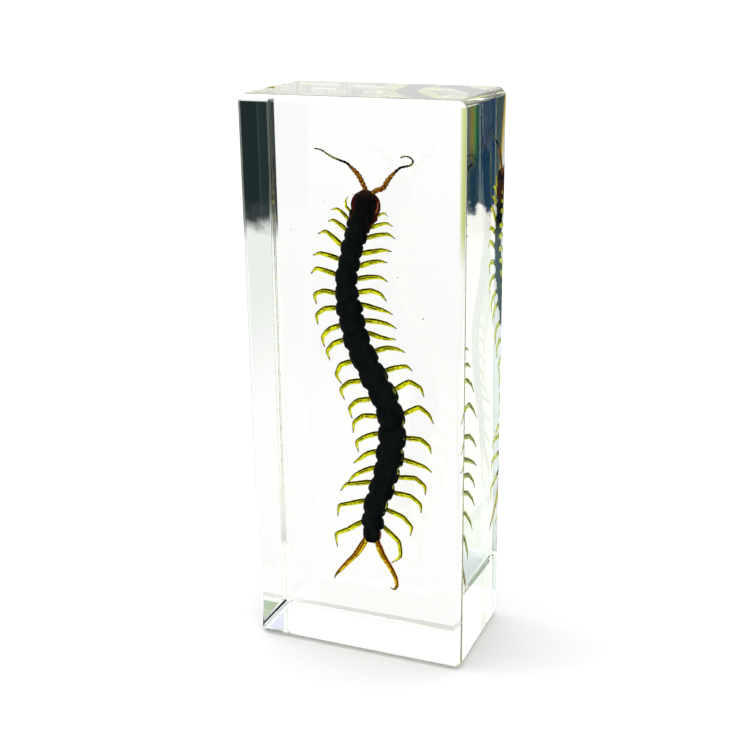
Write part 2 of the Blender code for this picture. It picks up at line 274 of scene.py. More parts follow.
def makeCamera():
    turn, tip, roll = (math.radians(camera[key]) for key in ("turn", "tip", "roll"))
    forward = Vector((-math.sin(turn) * math.cos(tip), math.cos(turn) * math.cos(tip), -math.sin(tip)))
    level = Vector((math.cos(turn), math.sin(turn), 0))
    above = level.cross(forward)
    right = level * math.cos(roll) + above * math.sin(roll)
    up = above * math.cos(roll) - level * math.sin(roll)
    lens = bpy.data.cameras.new("camera")
    lens.sensor_width = camera["sensor"]
    lens.lens = camera["focalPixels"] / camera["photoPixels"] * camera["sensor"]
    lens.clip_start = camera["clipStart"] * mm
    eye = bpy.data.objects.new("camera", lens)
    facing = Matrix((right, up, -forward)).transposed().to_4x4()
    eye.matrix_world = Matrix.Translation(Vector(camera["position"]) * mm) @ facing
    scene.collection.objects.link(eye)
    scene.camera = eye
    print("placed camera")


# The resin block

resin = {
    "edge": 1.4,                 # width of the softened edges
    "edgeSteps": 6,
    "edgeRoundness": 0.38,       # 0.5 is a full quarter round, 0.25 a flat bevel
    "crispShare": 0.12,          # width of the lower back edge, as a share of the other edges' width
    "ior": 1.56,
    "tint": (0.945, 0.968, 0.935),
    "tintPerMetre": 22.0,
}


def resinMaterial():
    material, start = newMaterial("clear_resin")
    surface = start.node("ShaderNodeBsdfPrincipled", {}, {
        "Base Color": (1.0, 1.0, 1.0), "Roughness": 0.0, "IOR": resin["ior"], "Transmission Weight": 1.0,
    })
    depth = start.node("ShaderNodeVolumeAbsorption", {}, {
        "Color": resin["tint"], "Density": resin["tintPerMetre"],
    })
    return showSurface(material, surface, depth)


def makeResin():
    low, high = cadBox
    place = Matrix.Translation((low + high) / 2) @ Matrix.Diagonal((*(high - low), 1))
    shape = bmesh.new()
    bmesh.ops.create_cube(shape, size=1.0, matrix=place)
    mesh = bpy.data.meshes.new("resin_block")
    shape.to_mesh(mesh)
    shape.free()
    weights = []
    for first, second in (edge.vertices for edge in mesh.edges):
        middle = (mesh.vertices[first].co + mesh.vertices[second].co) / 2
        lowerBack = middle.y > high.y - mm and middle.z < low.z + mm
        weights.append(resin["crispShare"] if lowerBack else 1.0)
    mesh.attributes.new("bevel_weight_edge", "FLOAT", "EDGE").data.foreach_set("value", weights)
    mesh.shade_smooth()
    mesh.materials.append(resinMaterial())
    block = bpy.data.objects.new("resin_block", mesh)
    scene.collection.objects.link(block)
    edges = block.modifiers.new("softened edges", "BEVEL")
    edges.width = resin["edge"] * mm
    edges.segments = resin["edgeSteps"]
    edges.profile = resin["edgeRoundness"]
    edges.limit_method = "WEIGHT"
    edges.harden_normals = True
    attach(block, "root")
    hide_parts("resin_front", "resin_back")
    print("made resin_block")


# The trunk: a soft body with a lobe at each pair of legs, under a row of back plates and belly plates

trunk = {
    "backLine": ((-0.3, -1.0, 88.0), (-2.55, -1.3, 80.0), (-3.45, -1.8, 74.5), (-2.5, -2.5, 68.5),
                 (-0.6, -3.2, 62.6), (2.3, -3.5, 57.0), (5.1, -3.3, 51.3), (6.0, -3.0, 46.0),
                 (5.25, -2.7, 40.2), (3.8, -2.5, 34.5), (2.1, -2.3, 29.5), (1.45, -2.2, 25.5),
                 (1.1, -2.1, 19.0)),
    "runOn": 5.0,                # how far the line goes on past its ends
    # places down the back, each with the width there
    "widths": ((0, 4.6), (8, 4.3), (14, 4.5), (19, 5.4), (30, 5.6), (46, 5.7), (56, 5.1), (65, 4.4),
               (70.3, 3.6)),
    "start": -1.0,               # down the back, as are all places
    "end": 69.1,
    "endReach": 1.0,             # the length of the rounding there
    "endLeast": 0.02,
    "rise": 1.5,                 # from the line to the back
    "drop": 1.1,                 # from the line to the belly
    "ringStep": 0.2,
    "sides": 56,
    "seed": 4,
    "hipSize": (0.62, 0.75),     # the least and the most radius of the lump at the root of a leg
    "hipShape": (1.0, 0.9, 0.85),
    "hipInset": 0.45,
    # shares of the trunk's own width and height
    "neck": ((-1.0, 0.58), (0.6, 0.66), (2.2, 0.90)),      # places, each with how high the soft body rises
    "bodyWidth": 0.955,
    "notch": 0.15,               # how deep the sides go in between two plates
    "sag": 0.05,                 # how far the back goes down there
    "notchReach": 0.11,          # a share of the plate's length
    "lobes": (0.01, 0.13),       # how far the sides swell out between two notches, drawn at random
    "lastLobes": (0.16, 0.02),   # the last lobe but one is wide and the last is narrow
    "lobeMiddles": (0.48, 0.78),
    "lobeFullness": 0.55,
}
plates = {
    # places and lengths down the back
    "firstStarts": (1.6, 3.4),   # of the first two; the others start halfway between two pairs of legs
    "early": 0.1,                # how much sooner a back plate starts
    "overlap": 0.09,             # how far it lies over the next one, as a share of its length
    "bellyInsets": (0.15, 0.1),  # what a belly plate is shorter by, in front and behind
    # shares of the trunk's own width and height
    "widths": (0.90, 0.95, 0.80),          # the first plate, the others and the last
    "heights": (0.955, 1.0),     # at the front edge and at the rear edge
    "bellyWidth": 0.93,
    "bellyHeights": (0.98, 0.985),
    "thickness": 0.1,            # a share of the height, and millimetres at the sides
    "crease": 0.022,             # depth of the two long creases
    "rim": 0.03,                 # height of the raised sides
    # the layout of one plate
    "spread": 62,                # degrees, from the middle of the back to the side
    "bellySpread": 48,
    "creaseAt": (0.38, 0.035),   # from the middle, and how wide, as shares of the spread
    "rimAt": (0.93, 0.05),
    "corners": (0.35, 0.6),      # how round the corners are, and those of the last plate
    "bellyCorners": 0.4,
    "cornerDepth": 0.75,
    "slope": 0.7,                # a power: below 1, a plate rises soon
    "across": 29,
    "along": 18,
}

# for each pair of legs: its place down the back, then for the left and for the right leg its length
# and how many degrees thigh, shin and foot point upwards from straight out
legPairs = (
    (0.4, (3.4, 45, 85, 125), (3.1, 40, 20, -50)),
    (2.0, (4.4, 45, 30, -15), (4.2, 20, 10, -30)),
    (4.0, (4.3, 35, 30, -15), (5.4, 15, 5, -35)),
    (7.2, (6.0, 40, 35, -20), (5.4, 10, 10, -10)),
    (9.8, (5.7, 15, 10, -20), (5.3, 20, 10, -10)),
    (12.6, (6.0, 15, 10, -45), (5.9, 10, 0, -30)),
    (15.7, (6.7, 5, -25, -100), (6.1, 10, -20, -55)),
    (18.3, (7.0, -10, -40, -95), (6.1, -15, -15, -25)),
    (21.6, (7.1, -25, -50, -100), (6.0, -5, -15, -30)),
    (24.3, (6.8, -25, -50, -105), (5.0, -25, -15, -5)),
    (28.3, (7.3, -25, -65, -120), (5.4, 15, -10, -30)),
    (32.5, (7.6, -15, -45, -110), (5.0, 15, 5, -50)),
    (36.5, (7.7, -15, -45, -105), (7.4, 30, -35, -80)),
    (40.9, (7.8, -5, -40, -85), (7.5, 25, -45, -75)),
    (45.2, (7.6, -20, -35, -100), (6.5, -10, -50, -85)),
    (49.5, (6.2, -20, -40, -40), (6.0, -25, -30, -50)),
    (53.3, (7.5, -25, -35, -50), (7.8, -5, -50, -95)),
    (56.8, (8.1, -15, -15, -50), (8.2, -15, -50, -95)),
    (61.1, (8.9, -20, -20, -80), (8.9, -30, -60, -105)),
    (65.4, (10.3, -35, -30, -95), (11.7, -50, -90, -135)),
    (67.2, (), ()),              # the tail legs have lines of their own
)
back = SmoothLine(trunk["backLine"], runOn=trunk["runOn"])


def halfWidth(place):
    return lookUp(trunk["widths"], place) / 2


def acrossBack(place):
    alongX, _, alongZ = back.direction(place)
    return unit(np.array((-alongZ, 0.0, alongX)))


def legRoot(place, side, outwards):
    return back.at(place) + acrossBack(place) * side * outwards + np.array((0, legs["rootDrop"], 0))


def plateEdges():
    places = [pair[0] for pair in legPairs]
    middles = [(place + following) / 2 for place, following in zip(places, places[1:])]
    return [*plates["firstStarts"], *middles[2:], trunk["end"]]


def trunkPoint(place, angle, width, height):
    # width and height are shares of the trunk's own; angle 90 degrees is the middle of the back
    reach = trunk["rise"] if math.sin(angle) > 0 else trunk["drop"]
    point = back.at(place) - np.array((0, reach * height * math.sin(angle), 0))
    return point + acrossBack(place) * halfWidth(place) * width * math.cos(angle)


def makeTrunk():
    skin = Skin("flank", "right", "place")
    edges = np.array(plateEdges())
    chance = np.random.default_rng(trunk["seed"])
    lobes = chance.uniform(*trunk["lobes"], (2, len(edges)))
    lobes[:, -3:-1] = trunk["lastLobes"]
    middles = chance.uniform(*trunk["lobeMiddles"], (2, len(edges)))
    angles = np.linspace(0, 2 * math.pi, trunk["sides"], endpoint=False)
    places = np.arange(trunk["start"], trunk["end"] + 0.01, trunk["ringStep"])
    rings = []
    for place in places:
        number = int(np.clip(np.searchsorted(edges, place) - 1, 0, len(edges) - 2))
        inside = np.clip((place - edges[number]) / (edges[number + 1] - edges[number]), 0, 1)
        gap = hump(inside, 0, trunk["notchReach"]) + hump(inside, 1, trunk["notchReach"])
        past = max(0.0, 1 - (trunk["end"] - place) / trunk["endReach"])
        ending = math.sqrt(max(trunk["endLeast"], 1 - past ** 2))
        height = lookUp(trunk["neck"], place) - trunk["sag"] * gap
        ring = []
        for angle in angles:
            side = 0 if math.cos(angle) < 0 else 1
            # a lobe is fullest at its own middle, which isn't halfway
            shifted = inside ** (math.log(0.5) / math.log(middles[side, number]))
            swell = math.sin(math.pi * shifted) ** trunk["lobeFullness"]
            width = (trunk["bodyWidth"] - trunk["notch"] * gap + lobes[side, number] * swell) * ending
            ring.append(trunkPoint(place, angle, width, height * ending))
        rings.append(ring)
    rightSide = np.sin(angles) * (np.cos(angles) > 0)
    skin.addRings(rings, flank=np.abs(np.cos(angles))[None, :], right=rightSide[None, :],
                  place=(places / trunk["end"])[:, None])
    for place, *_ in legPairs[:-1]:
        for side in (-1, 1):
            radii = chance.uniform(*trunk["hipSize"]) * np.array(trunk["hipShape"])
            addBall(skin, legRoot(place, side, halfWidth(place) - trunk["hipInset"]), radii,
                    flank=0.5, place=place / trunk["end"])
    piece = skin.make("trunk", membraneMaterial(), "dark_shell")
    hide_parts("centipede")


def addPlate(skin, start, end, middle, spread, width, heights, corner):
    # one curved plate over the trunk with rounded corners; middle and spread are degrees around the trunk
    across, along, thick = plates["across"], plates["along"], plates["thickness"]
    top, under, rims = [], [], []
    for q in np.linspace(0, 1, along):
        topRow, underRow, rimRow = [], [], []
        for p in np.linspace(-1, 1, across):
            bend = max(0.0, (abs(p) - (1 - corner)) / corner)
            inset = corner * (1 - math.sqrt(max(0.0, 1 - bend ** 2))) * plates["cornerDepth"]
            place = start + (end - start) * (inset + (1 - 2 * inset) * q)
            angle = math.radians(middle + spread * p)
            crease = plates["crease"] * hump(abs(p), *plates["creaseAt"])
            rim = plates["rim"] * hump(abs(p), *plates["rimAt"])
            height = heights[0] + (heights[1] - heights[0]) * q ** plates["slope"] - crease + rim
            topRow.append(trunkPoint(place, angle, width * (1 + rim), height))
            underRow.append(trunkPoint(place, angle, width - thick / halfWidth(place), height - thick))
            rimRow.append(max(abs(p), abs(2 * q - 1)))
        top.append(topRow)
        under.append(underRow)
        rims.append(rimRow)
    first = len(skin.points)
    for sheet in (top, under):
        for row, rimRow in zip(sheet, rims):
            for point, rim in zip(row, rimRow):
                skin.addPoint(point, rim=rim)
    size = across * along
    for i in range(along - 1):
        for j in range(across - 1):
            corners = (i * across + j, i * across + j + 1, (i + 1) * across + j + 1, (i + 1) * across + j)
            skin.faces.append(tuple(first + c for c in corners))
            skin.faces.append(tuple(first + size + c for c in reversed(corners)))
    border = [(0, j) for j in range(across)] + [(i, across - 1) for i in range(1, along)]
    border += [(along - 1, j) for j in range(across - 2, -1, -1)] + [(i, 0) for i in range(along - 2, 0, -1)]
    border = [first + i * across + j for i, j in border]
    for here, following in zip(border, border[1:] + border[:1]):
        skin.faces.append((here, here + size, following + size, following))


def makePlates():
    edges = plateEdges()
    backs, bellies = Skin("rim"), Skin()
    for number, (start, end) in enumerate(zip(edges, edges[1:])):
        last = number == len(edges) - 2
        overlap = 0.0 if last else plates["overlap"] * (end - start)
        width = plates["widths"][0 if number == 0 else 2 if last else 1]
        addPlate(backs, start - plates["early"], end + overlap, 90,
                 plates["spread"], width, plates["heights"], plates["corners"][1 if last else 0])
        addPlate(bellies, start + plates["bellyInsets"][0], end - plates["bellyInsets"][1], 270,
                 plates["bellySpread"], plates["bellyWidth"], plates["bellyHeights"], plates["bellyCorners"])
    backs.make("back_plates", plateMaterial(), "dark_shell")
    bellies.make("belly_plates", bellyMaterial(), "dark_shell")


# Legs

legs = {
    "shares": (0.38, 0.32, 0.30),          # thigh, shin and foot
    "rootDrop": 0.4,             # behind the middle of the trunk
    "hidden": 0.6,               # how far a leg starts inside the trunk, as a share of its half width
    "tips": {                    # y of the tips on the left (-1) and right (1), by their places down the back
        -1: ((0, -0.4), (12, -1.2), (20, -1.5), (27, -2.1), (33, -2.7), (42, -3.2), (50, -2.6), (55, -0.8),
             (62, -1.2)),
        1: ((0, 2.0), (5, 1.6), (9, 1.0), (17, 0.4), (23, 0.7), (29, 1.1), (35, 1.8), (44, 2.6), (52, 3.0),
            (58, 3.8), (62, 4.0), (66, 3.6)),
    },
    "roundness": 0.30,
    "joints": (0.06, 0.38, 0.70, 0.90),
    "jointReach": 0.025,
    "jointPinch": 0.12,          # how much thinner a leg is at a joint
    "thickness": ((0, 0.49), (0.10, 0.57), (0.34, 0.54), (0.42, 0.50), (0.66, 0.41), (0.74, 0.33),
                  (0.86, 0.23), (0.92, 0.17), (0.97, 0.09), (1.0, 0.02)),
    "firstOnes": ((0.4, 0.52), (2.0, 0.72), (4.0, 0.86), (7.2, 1.0)),      # the first pairs are thinner
    "rings": 60,
    "sides": 16,
}
tailLegs = {
    "left": ((0.5, -1.8, 23.4), (-0.1, -1.8, 21.9), (-2.2, -1.6, 18.4), (-4.5, -1.4, 15.7),
             (-6.6, -1.2, 13.2), (-7.3, -1.0, 12.1), (-7.3, -0.8, 11.4)),
    "right": ((1.7, -1.9, 23.4), (2.2, -1.8, 22.0), (3.3, -1.1, 18.8), (4.7, -0.4, 16.3), (5.7, 0.3, 14.0),
              (5.9, 1.0, 11.9), (5.2, 1.7, 10.7), (3.9, 2.4, 10.7)),
    "hiddenLength": 1.2,
    "joints": (0.08, 0.36, 0.60, 0.80, 0.93),
    "thickness": ((0, 0.66), (0.12, 0.74), (0.36, 0.66), (0.42, 0.56), (0.60, 0.55), (0.66, 0.47),
                  (0.80, 0.40), (0.86, 0.29), (0.93, 0.21), (0.97, 0.12), (1.0, 0.02)),
    "spur": ((-2.8, -1.6, 18.75), (-2.35, -1.6, 18.05), (-2.1, -1.6, 17.5)),
    "spurThickness": (0.24, 0.14, 0.04),
    "spurPlace": 0.3,            # along the left leg, for its colour
}


def limbMarks(share, joints):
    # 1 at a joint and 0 away from it, and the thickness there as a share
    near = np.max([hump(share, joint, legs["jointReach"]) for joint in joints], axis=0)
    return near, 1 - legs["jointPinch"] * near


def legLine(place, side, length, directions):
    half = halfWidth(place)
    hip = legRoot(place, side, half)
    tipY = lookUp(legs["tips"][side], place)
    points = [hip - acrossBack(place) * side * half * legs["hidden"], hip]
    travelled = 0.0
    for share, degrees in zip(legs["shares"], directions):
        angle = math.radians(degrees)
        travelled += share
        point = points[-1] + np.array((side * math.cos(angle), 0, math.sin(angle))) * length * share
        point[1] = hip[1] + (tipY - hip[1]) * travelled
        points.append(point)
    return points, half * legs["hidden"]


def addLeg(skin, points, hiddenLength, side, style, size=1.0):
    line = SmoothLine(points, legs["roundness"])
    places = np.linspace(0, line.length, legs["rings"])
    share = np.clip((places - hiddenLength) / (line.length - hiddenLength), 0, 1)
    near, narrowed = limbMarks(share, style["joints"])
    radii = lookUp(style["thickness"], share) * narrowed * size
    addLimb(skin, line.at(places), radii, side, legs["sides"], along=share[:, None], joint=near[:, None])


def makeLegs():
    walking, tail = Skin("along", "outer", "front", "joint"), Skin("along", "outer", "front", "joint")
    for place, left, right in legPairs[:-1]:
        for side, (length, *directions) in ((-1, left), (1, right)):
            points, hiddenLength = legLine(place, side, length, directions)
            addLeg(walking, points, hiddenLength, side, legs, lookUp(legs["firstOnes"], place))
    for side, name in ((-1, "left"), (1, "right")):
        addLeg(tail, tailLegs[name], tailLegs["hiddenLength"], side, tailLegs)
    addLimb(tail, tailLegs["spur"], tailLegs["spurThickness"], along=tailLegs["spurPlace"])
    walking.make("walking_legs", legMaterial("leg_yellow", legColours), "dark_shell")
    tail.make("tail_legs", legMaterial("leg_orange", tailLegColours), "dark_shell")


# Feelers

feelers = {
    "left": ((1.1, -0.6, 91.0), (0.35, -0.6, 92.65), (-0.9, -0.6, 95.0), (-2.3, -0.6, 96.4),
             (-3.25, -0.6, 97.2), (-4.75, -0.6, 97.7), (-6.15, -0.6, 98.2), (-7.2, -0.6, 98.75),
             (-8.4, -0.6, 99.4), (-9.8, -0.6, 99.6)),
    "right": ((1.0, -0.6, 91.2), (2.5, -0.5, 92.4), (3.8, -0.3, 92.9), (4.7, 0.2, 94.4), (5.8, 0.8, 95.7),
              (6.8, 1.3, 96.6), (7.5, 1.8, 96.8), (8.6, 2.6, 97.1), (8.9, 3.0, 97.8), (8.4, 2.4, 98.5),
              (7.6, 1.6, 98.7), (7.0, 0.6, 98.5)),
    "thickness": ((0, 0.50), (0.13, 0.50), (0.31, 0.53), (0.41, 0.42), (0.47, 0.29), (0.54, 0.24),
                  (0.75, 0.20), (1.0, 0.13)),
    "beads": 19,
    "beadSwell": (0.74, 0.30),   # the thickness between two beads, and what a bead adds to it, as shares
    "beadFullness": 0.7,
    "tip": (0.9, 0.65, 0.25),    # how the last three rings close
    "sides": 14,
    "ringsPerBead": 8,
}


def makeFeelers():
    skin = Skin("along", "outer", "joint")
    least, added = feelers["beadSwell"]
    for side, name in ((-1, "left"), (1, "right")):
        line = SmoothLine(feelers[name])
        share = np.linspace(0, 1, feelers["beads"] * feelers["ringsPerBead"] + 1)
        bead = np.sin(math.pi * ((share * feelers["beads"]) % 1.0))
        radii = lookUp(feelers["thickness"], share) * (least + added * bead ** feelers["beadFullness"])
        radii[-3:] *= feelers["tip"]
        addLimb(skin, line.at(share * line.length), radii, side, feelers["sides"], along=share[:, None],
                joint=(1 - np.sqrt(bead))[:, None])
    skin.make("feelers", feelerMaterial(), "dark_shell")


# The head, in its own frame: x across it and z up it, turned a little to the right

head = {
    "middle": (0.37, -0.9, 89.45),
    "lean": 8.0,                 # degrees, to the right
    "outline": ((0, 3.0), (0.9, 2.85), (1.65, 2.2), (2.05, 1.2), (2.15, 0), (2.08, -1.2), (1.9, -2.4),
                (1.2, -3.3), (0, -3.5)),
    "depths": (-2.0, -0.9, -0.4),          # y of the shield's top, of its rim and of its underside
    "eyes": ((1.55, 1.75), (1.82, 1.5), (1.42, 1.42), (1.70, 1.17)),
    "eyeRadius": 0.13,
    "eyeY": -1.4,
    "claw": ((0.9, -0.3, -3.4), (1.35, -0.4, -2.6), (1.8, -0.5, -1.7), (2.3, -0.5, -0.6), (2.42, -0.45, 0.4),
             (2.1, -0.3, 1.5), (1.4, 0.0, 2.2), (0.7, 0.2, 2.6)),
    "clawThickness": ((0, 0.5), (0.2, 0.60), (0.5, 0.58), (0.72, 0.42), (0.9, 0.20), (1.0, 0.03)),
    "clawRings": 40,
    "clawSides": 14,
    # the middle and the radii of the lump at the root of each claw
    "clawRoots": (((-2.42, -0.35, -2.2), (0.72, 0.6, 1.2)), ((2.08, -0.35, -2.0), (0.58, 0.5, 0.72))),
    "jawPlate": ((0, 0.4), (0.5, 0.75), (1.0, 0.3), (1.9, -0.6), (2.35, -1.8), (2.0, -3.0),
                 (1.0, -3.6), (0, -3.7)),
    "jawDepths": (0.5, -0.05, -0.4),
    "aroundPoints": 64,
    "domeRings": 12,
    "domeShape": (2.4, 0.62),    # powers of the shield's section
    # rings under the shield: share of the outline, and share of the way from the rim to the underside
    "underRings": ((1.015, 0.25), (1.015, 0.6), (0.97, 0.92), (0.8, 1.0), (0.4, 1.0), (0.05, 1.0)),
}


def headPoint(x, y, z):
    lean = math.radians(head["lean"])
    middleX, _, middleZ = head["middle"]
    return np.array((middleX + x * math.cos(lean) + z * math.sin(lean), y,
                     middleZ - x * math.sin(lean) + z * math.cos(lean)))


def wholeOutline(half):
    # a smooth closed outline from its right half, the top point first
    points = list(half) + [(-x, z) for x, z in reversed(half[1:-1])]
    around = SmoothLine([points[-1], *points, points[0], points[1]], runOn=0.01)
    start = around.distance[np.linalg.norm(around.line - np.array(points[0]), axis=1).argmin()]
    length = SmoothLine([*points, points[0]], runOn=0.01).length
    return around.at(start + np.linspace(0, length, head["aroundPoints"], endpoint=False))


def addDome(skin, outline, depths):
    # a rounded shield over an outline, flat underneath; the mark crown is 1 at its front end
    topY, rimY, underY = depths
    steepness, fullness = head["domeShape"]
    rings, marks = [], []
    for share in np.linspace(0.04, 1.0, head["domeRings"]):
        y = rimY + (topY - rimY) * (1 - share ** steepness) ** fullness
        rings.append([headPoint(x * share, y, z * share) for x, z in outline])
        marks.append(share)
    for share, depth in head["underRings"]:
        y = rimY + (underY - rimY) * depth
        rings.append([headPoint(x * share, y, z * share) for x, z in outline])
        marks.append(min(share, 1.0))
    marks = np.array(marks)[:, None]
    skin.addRings(rings, rim=marks, crown=marks * outline[None, :, 1] / outline[:, 1].max())


def makeHead():
    plate = Skin("rim", "crown")
    addDome(plate, wholeOutline(head["outline"]), head["depths"])
    for side in (-1, 1):
        for x, z in head["eyes"]:
            addBall(plate, headPoint(side * x, head["eyeY"], z), [head["eyeRadius"]] * 3)
    plate.make("head_plate", headMaterial(), "dark_shell")

    claws = Skin("along", "outer", "right")
    share = np.linspace(0, 1, head["clawRings"])
    for side in (-1, 1):
        line = SmoothLine([headPoint(side * x, y, z) for x, y, z in head["claw"]])
        addLimb(claws, line.at(share * line.length), lookUp(head["clawThickness"], share), side,
                head["clawSides"], along=share[:, None], right=max(side, 0))
    for middle, radii in head["clawRoots"]:
        addBall(claws, headPoint(*middle), radii)
    claws.make("venom_claws", clawMaterial(), "dark_shell")

    jaw = Skin()
    addDome(jaw, wholeOutline(head["jawPlate"]), head["jawDepths"])
    jaw.make("jaw_plate", jawMaterial(), "dark_shell")


# Specks of dust caught in the resin

specks = {
    # x, z and radius of each
    "places": ((-2.1, 91.5, 0.13), (-14.9, 84.1, 0.11), (6.7, 76.4, 0.12), (11.8, 68.9, 0.14),
               (-8.0, 89.8, 0.09)),
    "y": -1.0,
    "stretch": (0.6, 1.3),
    "seed": 11,
}


def makeSpecks():
    skin = Skin()
    chance = np.random.default_rng(specks["seed"])
    for x, z, radius in specks["places"]:
        addBall(skin, (x, specks["y"], z), radius * chance.uniform(*specks["stretch"], 3))
    skin.make("dust_specks", dustMaterial(), "dark_shell")


# Finishes of the specimen. Scales of noise are per metre, and the depth of a bump is in metres.

shellIor = 1.12                  # low, because the shell lies in resin and hardly shines
shellColours = {
    "black": (0.0030, 0.0052, 0.0058),
    "green": (0.0050, 0.0090, 0.0066),
    "edge": (0.0034, 0.0056, 0.0058),
    # the yellow-green on the next line is painted light that shows between the plates
    "paintedLight": (0.62, 0.72, 0.05),
    "tail": (0.20, 0.058, 0.006),
    "neck": (0.055, 0.010, 0.005),
    "belly": (0.030, 0.030, 0.010),
}
headColours = {
    "dark": (0.0042, 0.0030, 0.0030), "front": (0.026, 0.009, 0.003), "rim": (0.060, 0.008, 0.004),
}
clawColours = {
    "dark": (0.030, 0.006, 0.004), "patches": (0.17, 0.018, 0.007),
    # the pale orange at the end of the next line is a painted highlight on the right claw
    "outerSide": (0.36, 0.040, 0.010), "paintedLight": (0.62, 0.19, 0.08),
}
jawColours = {"dark": (0.020, 0.006, 0.004), "patches": (0.12, 0.016, 0.007)}
# The yellows go above 1 to make up for the light that the block's walls hold back. Dusk is how dark the
# end of the shin is.
legColours = {
    # outerSide here is painted shade, darkening the upper half of a walking leg
    "body": (1.35, 1.36, 0.065), "outerSide": (1.12, 1.10, 0.035), "shade": (0.022, 0.020, 0.003),
    "joint": (0.36, 0.20, 0.012), "tip": (0.06, 0.035, 0.008), "dusk": 0.0,
}
tailLegColours = {
    "body": (1.32, 1.18, 0.045), "outerSide": (1.0, 0.52, 0.016), "shade": (0.15, 0.045, 0.004),
    "joint": (0.40, 0.12, 0.01), "tip": (0.70, 0.44, 0.03), "dusk": 0.5,
}
feelerColours = {
    "root": (1.0, 0.54, 0.04), "rootPatches": (0.28, 0.09, 0.007), "middle": (0.010, 0.014, 0.008),
    "end": (0.60, 0.62, 0.06), "endPatches": (0.020, 0.024, 0.010),
    # outerSide on the next line is painted shade along the outer edge
    "outerSide": (0.035, 0.020, 0.006), "joint": (0.02, 0.016, 0.006),
}
dustColours = {"dark": (0.05, 0.055, 0.04), "pale": (0.22, 0.22, 0.18)}


def shellSurface(start, colour, roughness, normal=None):
    sockets = {"Base Color": colour, "Roughness": roughness, "IOR": shellIor}
    if normal:
        sockets["Normal"] = normal
    return start.node("ShaderNodeBsdfPrincipled", {}, sockets)


def membraneMaterial():
    material, start = newMaterial("trunk_membrane")
    place = start.mark("place")
    dark = start.mix(start.noise(900.0).ramp(0.35, 0.75), shellColours["black"], shellColours["green"])
    dark = start.mix(place.ramp(0.07, 0.0) * start.mark("flank").ramp(0.80, 0.95), dark, shellColours["neck"])
    # painted light: yellow-green spots beside the plates, on the right and mostly low down, stand in for
    # light coming through the soft skin
    beside = start.mark("right").ramp(0.32, 0.38) * start.mark("right").ramp(0.54, 0.46)
    streaks = start.noise(620.0, 3.0, 0.6).ramp(0.54, 0.59)
    paintedLight = beside * streaks * place.ramp(0.46, 0.58) * place.ramp(0.94, 0.90)
    colour = start.mix(paintedLight, dark, shellColours["paintedLight"])
    tail = place.ramp(0.955, 0.965) * start.mark("flank").ramp(0.84, 0.98)
    colour = start.mix(tail, colour, shellColours["tail"])
    height = start.noise(2600.0, 4.0)
    return showSurface(material, shellSurface(start, colour, 0.5, start.bump(height, 0.3, 0.00008)))


def plateMaterial():
    material, start = newMaterial("back_plate_black")
    cloud = start.noise(500.0)
    dark = start.mix(cloud.ramp(0.3, 0.8), shellColours["black"], shellColours["green"])
    colour = start.mix(start.mark("rim").ramp(0.88, 1.0), dark, shellColours["edge"])
    pits = start.noise(5200.0, 3.0)
    roughness = pits.ramp(0.0, 1.0) * 0.2 + 0.28
    return showSurface(material, shellSurface(start, colour, roughness, start.bump(pits, 0.2, 0.00005)))


def bellyMaterial():
    material, start = newMaterial("belly_plate_brown")
    colour = start.mix(start.noise(700.0).ramp(0.3, 0.75), shellColours["black"], shellColours["belly"])
    pits = start.noise(4200.0)
    return showSurface(material, shellSurface(start, colour, 0.4, start.bump(pits, 0.2, 0.00005)))


def headMaterial():
    material, start = newMaterial("head_plate_red")
    edge = start.mark("rim") + (start.noise(800.0) - 0.5) * 0.16
    dark = start.mix(start.mark("crown").ramp(0.40, 0.95), headColours["dark"], headColours["front"])
    colour = start.mix(edge.ramp(0.93, 1.04), dark, headColours["rim"])
    pits = start.noise(4800.0)
    return showSurface(material, shellSurface(start, colour, 0.35, start.bump(pits, 0.2, 0.00005)))


def throughLight(start, colour, share, normal=None):
    # thin horn: part of the light passes through it
    surface = shellSurface(start, colour, 0.4, normal)
    glow = start.node("ShaderNodeBsdfTranslucent", {}, {"Color": colour})
    return start.node("ShaderNodeMixShader", {}, {0: share, 1: surface, 2: glow})


def clawMaterial():
    material, start = newMaterial("claw_red")
    along, outer, right = start.mark("along"), start.mark("outer"), start.mark("right")
    colour = start.mix(start.noise(1500.0).ramp(0.35, 0.65), clawColours["dark"], clawColours["patches"])
    outerSide = right * along.ramp(0.2, 0.4) * outer.ramp(0.30, 0.60) * 0.8
    colour = start.mix(outerSide, colour, clawColours["outerSide"])
    # painted highlight: a pale patch in the middle of the right one stands in for light showing through it
    paintedLight = right * along.ramp(0.34, 0.44) * along.ramp(0.72, 0.60)
    paintedLight = paintedLight * outer.ramp(-0.55, -0.30) * outer.ramp(0.25, 0.0)
    colour = start.mix(paintedLight, colour, clawColours["paintedLight"])
    return showSurface(material, throughLight(start, colour, 0.35))


def jawMaterial():
    material, start = newMaterial("jaw_brown")
    colour = start.mix(start.noise(1500.0).ramp(0.3, 0.7), jawColours["dark"], jawColours["patches"])
    pits = start.noise(4200.0)
    return showSurface(material, shellSurface(start, colour, 0.4, start.bump(pits, 0.2, 0.00005)))


